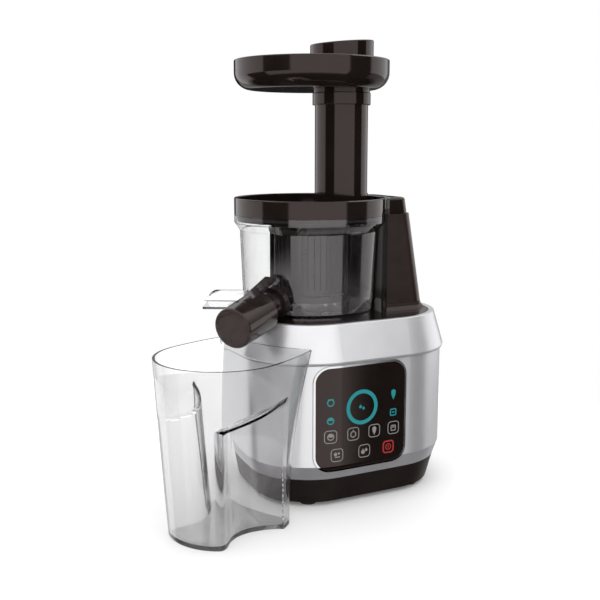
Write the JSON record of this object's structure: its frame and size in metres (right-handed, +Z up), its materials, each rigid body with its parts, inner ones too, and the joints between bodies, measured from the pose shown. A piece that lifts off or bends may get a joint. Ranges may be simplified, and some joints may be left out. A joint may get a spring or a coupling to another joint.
{
  "type": "slow juicer",
  "caption": "Upright slow juicer with feed tray and pusher over a clear bowl on a silver base, a rinse tank, a touch panel and a clear jug under the drip-stop spout.",
  "frame": {"origin": "middle of the whole footprint, jug included, on the surface that the juicer stands on", "axes": "+Z up, -Y towards the control panel, +X towards the rinse tank"},
  "size_m": [0.323, 0.238, 0.4439],
  "materials": {
    "dark_plastic": "glossy dark brown-black moulded plastic",
    "skirt_plastic": "satin dark brown-black plastic",
    "silver_paint": "satin silver paint on plastic",
    "bezel_metal": "bright silver plated trim",
    "clear_plastic": "clear moulded plastic",
    "panel_black": "gloss black panel with lit signs",
    "soft_rubber": "black soft rubber",
    "wiper_silicone": "pale translucent silicone",
    "steel": "turned steel",
    "stator_iron": "laminated iron with windings",
    "motor_aluminium": "plain aluminium can",
    "bush_brass": "sintered bronze bush",
    "gear_plastic": "natural engineering plastic",
    "board_laminate": "green circuit board",
    "strainer_plastic": "dark grey filter plastic",
    "wiper_plastic": "smoky grey plastic",
    "auger_plastic": "dark hard plastic"
  },
  "bodies": {
    "base": {"bottom_cover": "skirt_plastic", "rubber_feet": "soft_rubber", "cover_screws": "steel", "lower_shell": "silver_paint", "upper_shell": "silver_paint", "deck": "dark_plastic", "cord_gland": "dark_plastic", "panel_glass": "panel_black", "panel_bezel": "bezel_metal", "control_board": "board_laminate", "gearbox_housing": "gear_plastic", "gearbox_cover": "gear_plastic", "output_bearing": "steel", "shaft_bush": "bush_brass", "cluster_pin": "steel", "motor_frame": "motor_aluminium", "motor_stator": "stator_iron", "motor_bushes": "bush_brass", "tank_dock": "dark_plastic", "rinse_pump": "gear_plastic", "rinse_hose": "soft_rubber", "rinse_nozzle": "gear_plastic"},
    "drive": {"drive_shaft": "steel", "output_gear": "gear_plastic"},
    "reduction": {"reduction_gear": "gear_plastic"},
    "rotor": {"motor_rotor": "steel", "motor_pinion": "steel", "cooling_fan": "gear_plastic"},
    "bowl_set": {"bowl": "clear_plastic", "bowl_seal": "soft_rubber", "strainer": "strainer_plastic", "juice_spout": "dark_plastic"},
    "drip_stop": {"drip_stop_sleeve": "dark_plastic"},
    "auger_body": {"auger": "auger_plastic"},
    "idler": {"wiper_idler": "gear_plastic"},
    "wiper": {"wiper_frame": "wiper_plastic", "wiper_blades": "wiper_silicone"},
    "lid_body": {"lid": "dark_plastic", "lid_band": "dark_plastic", "feed_chute": "dark_plastic", "lid_seal": "soft_rubber"},
    "tray_body": {"feed_tray": "dark_plastic"},
    "pusher_body": {"pusher": "dark_plastic"},
    "tank": {"rinse_tank": "dark_plastic", "tank_valve": "gear_plastic"},
    "tank_cap_body": {"tank_cap": "dark_plastic"},
    "jug_body": {"jug": "clear_plastic"}
  },
  "joints": [
    {"name": "drive_spin", "type": "hinge", "parent": "base", "child": "drive", "pos_m": [0.0288, 0.02307, 0.15], "axis": [0, 0, 1], "continuous": true},
    {"name": "reduction_spin", "type": "hinge", "parent": "base", "child": "reduction", "pos_m": [0.0738, 0.02307, 0.13], "axis": [0, 0, 1], "continuous": true},
    {"name": "rotor_spin", "type": "hinge", "parent": "base", "child": "rotor", "pos_m": [0.1038, 0.02307, 0.08], "axis": [0, 0, 1], "continuous": true},
    {"name": "bowl_lift", "type": "slide", "parent": "base", "child": "bowl_set", "axis": [0, 0, 1], "range_m": [0, 0.06]},
    {"name": "auger_spin", "type": "hinge", "parent": "bowl_set", "child": "auger_body", "pos_m": [0.0288, 0.02307, 0.23], "axis": [0, 0, 1], "continuous": true},
    {"name": "idler_spin", "type": "hinge", "parent": "bowl_set", "child": "idler", "pos_m": [0.04519, 0.00354, 0.205], "axis": [0, 0, 1], "continuous": true},
    {"name": "wiper_spin", "type": "hinge", "parent": "bowl_set", "child": "wiper", "pos_m": [0.0288, 0.02307, 0.23], "axis": [0, 0, 1], "continuous": true},
    {"name": "drip_stop_turn", "type": "hinge", "parent": "bowl_set", "child": "drip_stop", "pos_m": [-0.02697, -0.01315, 0.195], "axis": [-0.8246, -0.5355, -0.1822], "range_deg": [0, 90]},
    {"name": "lid_twist", "type": "hinge", "parent": "bowl_set", "child": "lid_body", "pos_m": [0.0288, 0.02307, 0.28], "axis": [0, 0, 1], "range_deg": [0, 30]},
    {"name": "tray_lift", "type": "slide", "parent": "lid_body", "child": "tray_body", "axis": [0, 0, 1], "range_m": [0, 0.05]},
    {"name": "pusher_slide", "type": "slide", "parent": "tray_body", "child": "pusher_body", "axis": [0, 0, 1], "range_m": [0, 0.12]},
    {"name": "tank_lift", "type": "slide", "parent": "base", "child": "tank", "axis": [0, 0, 1], "range_m": [0, 0.06]},
    {"name": "tank_cap_lift", "type": "slide", "parent": "tank", "child": "tank_cap_body", "axis": [0, 0, 1], "range_m": [0, 0.03]},
    {"name": "jug_slide", "type": "slide", "parent": "base", "child": "jug_body", "axis": [-0.891, -0.454, 0], "range_m": [0, 0.12]}
  ],
  "couplings": [
    {"joint": "reduction_spin", "follows": "drive_spin", "ratio": -5},
    {"joint": "rotor_spin", "follows": "drive_spin", "ratio": 20},
    {"joint": "auger_spin", "follows": "drive_spin", "ratio": 1},
    {"joint": "idler_spin", "follows": "drive_spin", "ratio": -1.4286},
    {"joint": "wiper_spin", "follows": "drive_spin", "ratio": -0.41667}
  ]
}
